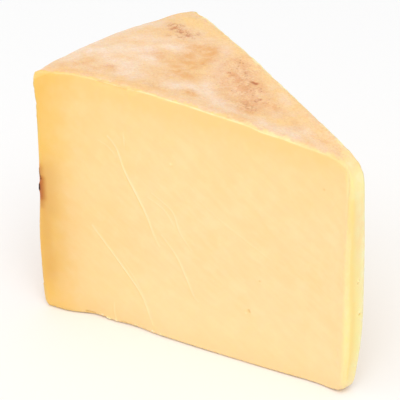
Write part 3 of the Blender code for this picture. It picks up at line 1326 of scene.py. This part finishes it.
def clouds(tree, mottle, vector, name):
    """One kind of clouds, from the mottle group."""
    size, low, high, detail = CLOUDS[name]
    sockets = {"Vector": vector, "Size": size * MM, "Low": low, "High": high, "Detail": detail}
    return use_group(tree, mottle, sockets)


def rgba(colour):
    return (*colour, 1.0)


def mottle_group():
    """Soft clouds of a given width, from 0 to 1."""
    inputs = {
        "Vector": ("NodeSocketVector", None),
        "Size": ("NodeSocketFloat", 8 * MM),
        "Detail": ("NodeSocketFloat", 2.0),
        "Low": ("NodeSocketFloat", 0.35),
        "High": ("NodeSocketFloat", 0.65),
    }
    group, given, result = new_group("Cloudy mottle", inputs, ("Mask", "NodeSocketFloat"))
    scale = maths(group, "DIVIDE", 1.0, given["Size"])
    sockets = {"Vector": given["Vector"], "Scale": scale, "Detail": given["Detail"]}
    noise = put(group, "ShaderNodeTexNoise", sockets)
    group.links.new(fade(group, noise.outputs[0], given["Low"], given["High"]), result)
    return group


def pore_group():
    """Small round pores at random places. Only a share of them is open."""
    inputs = {
        "Vector": ("NodeSocketVector", None),
        "Size": ("NodeSocketFloat", 1.5 * MM),
        "Share": ("NodeSocketFloat", 0.5),
        "Width": ("NodeSocketFloat", 0.3),
    }
    group, given, result = new_group("Pores", inputs, ("Mask", "NodeSocketFloat"))
    scale = maths(group, "DIVIDE", 1.0, given["Size"])
    cells = put(group, "ShaderNodeTexVoronoi", {"Vector": given["Vector"], "Scale": scale})
    half = times(group, given["Width"], 0.5)
    hole = fade(group, cells.outputs["Distance"], half, given["Width"], 1.0, 0.0)
    drawn = put(group, "ShaderNodeSeparateColor", {"Color": cells.outputs["Color"]})
    is_open = maths(group, "LESS_THAN", drawn.outputs[0], given["Share"])
    group.links.new(times(group, hole, is_open), result)
    return group


def paste_colour_group(mottle):
    """The colour of the cut cheese: cloudy, golden near the rim, buttery just under the top, with
    painted shade further down it and painted light and shade on its edges, nose and scratches.
    """
    inputs = {"Vector": ("NodeSocketVector", None)}
    inputs.update({name: ("NodeSocketColor", None) for name in PASTE_COLOURS})
    group, given, result = new_group("Paste colour", inputs, ("Color", "NodeSocketColor"))
    place = given["Vector"]
    cloudy = partial(clouds, group, mottle, place)

    # Where a place lies in the wheel
    from_axis = put(group, "ShaderNodeMapping", {"Vector": place, "Location": AXIS_TO_ORIGIN})
    flat = {0: from_axis.outputs[0], 1: (1, 1, 0)}
    flat = put(group, "ShaderNodeVectorMath", flat, operation="MULTIPLY").outputs[0]
    radius = put(group, "ShaderNodeVectorMath", {0: flat}, operation="LENGTH").outputs[1]
    axes = put(group, "ShaderNodeSeparateXYZ", {0: place})
    height = axes.outputs[2]
    broken = times(group, cloudy("ragged"), EDGE_RAGGEDNESS)
    top = maths(group, "MULTIPLY_ADD", radius, TOP_SLOPE, TOP_AT_AXIS)
    under_top = maths(group, "ADD", maths(group, "SUBTRACT", top, height), broken)
    from_rim = maths(group, "ADD", maths(group, "SUBTRACT", RIM_RADIUS, radius), broken)

    # The paste with its clouds, its bands and its nose
    drawn = stretched(group, place, DRAG_TURN, DRAG_STRETCH)
    dragged = clouds(group, mottle, drawn, "dragged")
    milk = times(group, cloudy("milky"), MILK_SHARE)
    milk = maths(group, "MULTIPLY_ADD", dragged, DRAGGED_SHARE, milk)
    colour = mix(group, cloudy("broad"), given["Paste"], given["Cloud"])
    colour = mix(group, milk, colour, given["Milk"])
    measures = {"height": height, "under top": under_top, "from rim": from_rim}
    for measure, low, high, share, name in PASTE_BANDS:
        band = fade(group, measures[measure], low * MM, high * MM, share, 0)
        colour = mix(group, band, colour, given[name])
    # The nose: yellower paste, lightened further as painted light falling on and through the thin
    # nose
    leaning = fade(group, height, *LEAN_FADE)
    nose = fade(group, maths(group, "ADD", axes.outputs[0], leaning), *NOSE_FADE)
    colour = mix(group, nose, colour, given["Nose"])
    # The deeper yellow line of painted shade down the nose
    colour = mix(group, painted(group, "gold"), colour, given["Nose gold"])
    colour = mix(group, painted(group, "burn"), colour, given["Burn"])

    # The painted highlight along the cut's edge, over slightly paler paste, strongest high up and
    # half way to the nose
    edge = fade(group, painted(group, "cut_edge_and_highlight"), 0.25, 1)
    edge = times(group, edge, fade(group, height, *EDGE_HIGHLIGHT_BY_HEIGHT))
    edge = times(group, edge, fade(group, from_rim, *EDGE_HIGHLIGHT_FROM_RIM))
    edge = times(group, edge, fade(group, from_rim, *EDGE_HIGHLIGHT_AT_NOSE))
    # The pale strokes add paler, drier paste and painted highlight on the edges and the nose
    edge = strongest(group, edge, painted(group, "pale"))
    edge = times(group, edge, fade(group, cloudy("uneven"), 0, 1, *UNEVEN_EDGE_HIGHLIGHT))
    colour = mix(group, edge, colour, given["Cut edge and highlight"])

    # The small marks: painted highlight on each scratch's lit burr, the pale crumbs, painted shade
    # in the scratch's groove, and the holes
    pale = strongest(group, painted(group, "burr"), painted(group, "crumb"))
    colour = mix(group, times(group, pale, BURR_SHARE), colour, given["Scratch"])
    groove = times(group, painted(group, "scratch"), GROOVE_SHADE_SHARE)
    colour = mix(group, groove, colour, given["Groove"])
    colour = mix(group, painted(group, "hole"), colour, given["Hole"])
    group.links.new(colour, result)
    return group


def paste_inputs(colours, place):
    """The values of the paste colour group's inputs."""
    values = {"Vector": place}
    for name in PASTE_COLOURS:
        values[name] = rgba(getattr(colours, name.lower().replace(" ", "_")))
    return values


def new_material(name, sockets):
    """A material, its tree and its shader, whose sockets are given these values."""
    material = bpy.data.materials.new(name)
    material.use_nodes = True
    tree = material.node_tree
    shader = tree.nodes["Principled BSDF"]
    feed(tree, shader, sockets)
    return material, tree, shader


def paste_material(groups, colours):
    material, tree, shader = new_material("cheddar paste", {"Roughness": 0.5, **CHEESE_LOOK})
    place = put(tree, "ShaderNodeTexCoord").outputs["Object"]
    curd = clouds(tree, groups["mottle"], place, "curd")
    fine = put(tree, "ShaderNodeTexNoise", {"Vector": place, **PASTE_GRAIN}).outputs[0]
    relief = maths(tree, "MULTIPLY_ADD", curd, CURD_RELIEF, fine)
    bump = {"Height": relief, **PASTE_BUMP}
    sockets = {
        "Base Color": use_group(tree, groups["paste colour"], paste_inputs(colours, place)),
        "Roughness": fade(tree, curd, 0, 1, *PASTE_ROUGHNESS),
        "Normal": put(tree, "ShaderNodeBump", bump).outputs[0],
    }
    feed(tree, shader, sockets)
    return material


def rind_material(groups, paste_colours, colours):
    material, tree, shader = new_material("cheddar rind", {"Roughness": 0.8, **CHEESE_LOOK})
    place = put(tree, "ShaderNodeTexCoord").outputs["Object"]
    cloudy = partial(clouds, tree, groups["mottle"], place)
    along_cloth = stretched(tree, place, CLOTH_TURN, CLOTH_STRETCH)
    streaks = clouds(tree, groups["mottle"], along_cloth, "streaks")
    patches, blots, grain, flecks = map(cloudy, ("patches", "blots", "grain", "flecks"))
    kinds = {"patches": patches, "streaks": streaks, "blots": blots}

    # The rind's stretches and patches, which the clouds break up
    colour = rgba(colours.rind)
    for kind, share, name in RIND_TINTS:
        colour = mix(tree, times(tree, kinds[kind], share), colour, rgba(getattr(colours, name)))
    for mask, kind, thin, thick, name in RIND_LAYERS:
        share = times(tree, painted(tree, mask), fade(tree, kinds[kind], 0, 1, thin, thick))
        colour = mix(tree, share, colour, rgba(getattr(colours, name)))
    dry = fade(tree, painted(tree, "brown"), 0, 1, *DRYNESS)
    colour = mix(tree, times(tree, grain, GRAIN_TINT), colour, rgba(colours.tan))
    colour = mix(tree, times(tree, flecks, dry), colour, rgba(colours.brown))

    # Its pores, pits and curls
    pores = use_group(tree, groups["pores"], {"Vector": place, **RIND_PORES})
    pores = times(tree, pores, dry)
    sunken = times(tree, painted(tree, "pit"), fade(tree, blots, 0, 1, *PIT_SHARE))
    swirls = maths(tree, "SUBTRACT", cloudy("swirls"), 0.5)
    curls = fade(tree, maths(tree, "ABSOLUTE", swirls), *CURL_FADE)
    curls = times(tree, curls, painted(tree, "crack"))
    colour = mix(tree, strongest(tree, pores, sunken, curls), colour, rgba(colours.pit))

    # Where the rind is worn, ragged-edged, the paste shows through
    paste = use_group(tree, groups["paste colour"], paste_inputs(paste_colours, place))
    ragged = fade(tree, blots, 0, 1, *RAGGED_BY_BLOTS)
    ragged = maths(tree, "ADD", painted(tree, "rind"), ragged)
    ragged = maths(tree, "ADD", ragged, fade(tree, grain, 0, 1, *RAGGED_BY_GRAIN))
    covered = fade(tree, ragged, *RIND_FADE)
    colour = mix(tree, painted(tree, "burn"), colour, rgba(paste_colours.burn))
    colour = mix(tree, covered, paste, colour)
    mouldy = fade(tree, painted(tree, "mould"), *MOULD_FADE)
    colour = mix(tree, mouldy, colour, rgba(colours.mould))

    # Its fine relief, which is softer where the paste shows through
    relief = times(tree, grain, GRAIN_RELIEF)
    relief = maths(tree, "MULTIPLY_ADD", streaks, STREAK_RELIEF, relief)
    sunken = strongest(tree, pores, curls, times(tree, flecks, FLECK_RELIEF))
    relief = maths(tree, "SUBTRACT", relief, sunken)
    relief = times(tree, relief, fade(tree, covered, 0, 1, WORN_RELIEF, 1.0))
    bump = {"Height": relief, **RIND_BUMP}
    sockets = {
        "Base Color": colour,
        "Roughness": fade(tree, covered, 0, 1, *RIND_ROUGHNESS),
        "Normal": put(tree, "ShaderNodeBump", bump).outputs[0],
    }
    feed(tree, shader, sockets)
    return material


def dress_wedge(wedge, paste_colours, rind_colours):
    """Gives the cut faces and the nose the paste's material, and the rest the rind's."""
    mottle = mottle_group()
    groups = {"mottle": mottle, "pores": pore_group(), "paste colour": paste_colour_group(mottle)}
    wedge.data.materials.append(paste_material(groups, paste_colours))
    wedge.data.materials.append(rind_material(groups, paste_colours, rind_colours))
    covered = np.maximum(get_attribute(wedge, "rind"), get_attribute(wedge, "mould")) > COVERED
    for face in wedge.data.polygons:
        face.material_index = int(any(covered[index] for index in face.vertices))


# ---------------------------------------------------------------- stage

def aim(thing, target):
    thing.rotation_euler = (Vector(target) - thing.location).to_track_quat("-Z", "Y").to_euler()


def soft_light(name, direction, power):
    """A large square light that looks at the middle of the wedge."""
    middle = Vector((0, 0, HIGH.z / 2))
    place = middle + LIGHT_DISTANCE * Vector(direction).normalized()
    bpy.ops.object.light_add(type="AREA", location=place)
    light = bpy.context.object
    light.name = name
    light.data.name = name
    light.data.size = LIGHT_WIDTH
    light.data.energy = power
    aim(light, middle)


def add_floor(stage):
    bpy.ops.mesh.primitive_plane_add(size=stage.floor_size, location=(0, 0, -FLOOR_GAP))
    floor = bpy.context.object
    floor.name = "floor"
    bpy.ops.object.transform_apply(location=True)
    floor.data.materials.append(new_material("pale floor", FLOOR_LOOK)[0])


def add_sky(stage):
    world = bpy.data.worlds.new("even sky")
    world.use_nodes = True
    background = world.node_tree.nodes["Background"]
    background.inputs["Color"].default_value = (1, 1, 1, 1)
    background.inputs["Strength"].default_value = stage.sky_strength
    bpy.context.scene.world = world


def add_camera(stage):
    turn, rise = stage.azimuth, stage.elevation
    back = Vector(
        (math.sin(turn) * math.cos(rise), -math.cos(turn) * math.cos(rise), math.sin(rise))
    )
    target = Vector(stage.target)
    bpy.ops.object.camera_add(location=target + back * stage.distance)
    camera = bpy.context.object
    camera.name = "camera"
    camera.data.lens = stage.lens
    camera.data.sensor_width = SENSOR_WIDTH
    camera.data.clip_start = CLIP_START
    aim(camera, target)
    bpy.context.scene.camera = camera


# ---------------------------------------------------------------- operators and panel

class CHEDDAR_OT_add_wedge(Operator):
    """Models the wedge of cheddar over its solid, with its marks and materials"""

    bl_idname = "cheddar.add_wedge"
    bl_label = "Wedge"
    bl_options = {"REGISTER", "UNDO"}

    def execute(self, context):
        scene = context.scene
        wedge = wrapped_block(scene.cheddar_sizes)
        marked_wedge(wedge, scene.cheddar_relief)
        make_active(wedge)
        bpy.ops.object.shade_smooth()
        wedge.vertex_groups.clear()
        dress_wedge(wedge, scene.cheddar_paste, scene.cheddar_rind)
        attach(wedge, BODY)
        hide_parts(SOLID)
        return {"FINISHED"}


class CHEDDAR_OT_add_stage(Operator):
    """Adds the pale floor, the soft lights and the camera"""

    bl_idname = "cheddar.add_stage"
    bl_label = "Stage"
    bl_options = {"REGISTER", "UNDO"}

    def execute(self, context):
        deselect_all()
        stage = context.scene.cheddar_stage
        add_floor(stage)
        add_sky(stage)
        soft_light("key light", KEY_DIRECTION, stage.key_power)
        soft_light("fill light", FILL_DIRECTION, stage.fill_power)
        add_camera(stage)
        context.scene.view_settings.view_transform = "Standard"
        return {"FINISHED"}


class CHEDDAR_PT_tools(Panel):
    """Lists the pieces, their sizes and their colours"""

    bl_idname = "CHEDDAR_PT_tools"
    bl_label = "Cheddar wedge"
    bl_space_type = "VIEW_3D"
    bl_region_type = "UI"
    bl_category = "Cheddar"

    def draw(self, context):
        for operator in OPERATORS:
            self.layout.operator(operator.bl_idname)
        for name, kind in SETTINGS.items():
            box = self.layout.box()
            box.label(text=kind.bl_rna.name)
            for size in kind.__annotations__:
                box.prop(getattr(context.scene, name), size)


OPERATORS = (CHEDDAR_OT_add_wedge, CHEDDAR_OT_add_stage)
SETTINGS = {
    "cheddar_sizes": WedgeSizes,
    "cheddar_relief": ReliefSizes,
    "cheddar_paste": PasteColours,
    "cheddar_rind": RindColours,
    "cheddar_stage": StageSizes,
}


def register():
    for name, kind in SETTINGS.items():
        bpy.utils.register_class(kind)
        setattr(Scene, name, PointerProperty(type=kind))
    for kind in (*OPERATORS, CHEDDAR_PT_tools):
        bpy.utils.register_class(kind)


def unregister():
    for kind in (CHEDDAR_PT_tools, *reversed(OPERATORS)):
        bpy.utils.unregister_class(kind)
    for name, kind in SETTINGS.items():
        delattr(Scene, name)
        bpy.utils.unregister_class(kind)


def main():
    register()
    bpy.ops.cheddar.add_wedge()
    bpy.ops.cheddar.add_stage()


if __name__ == "__main__":
    main()
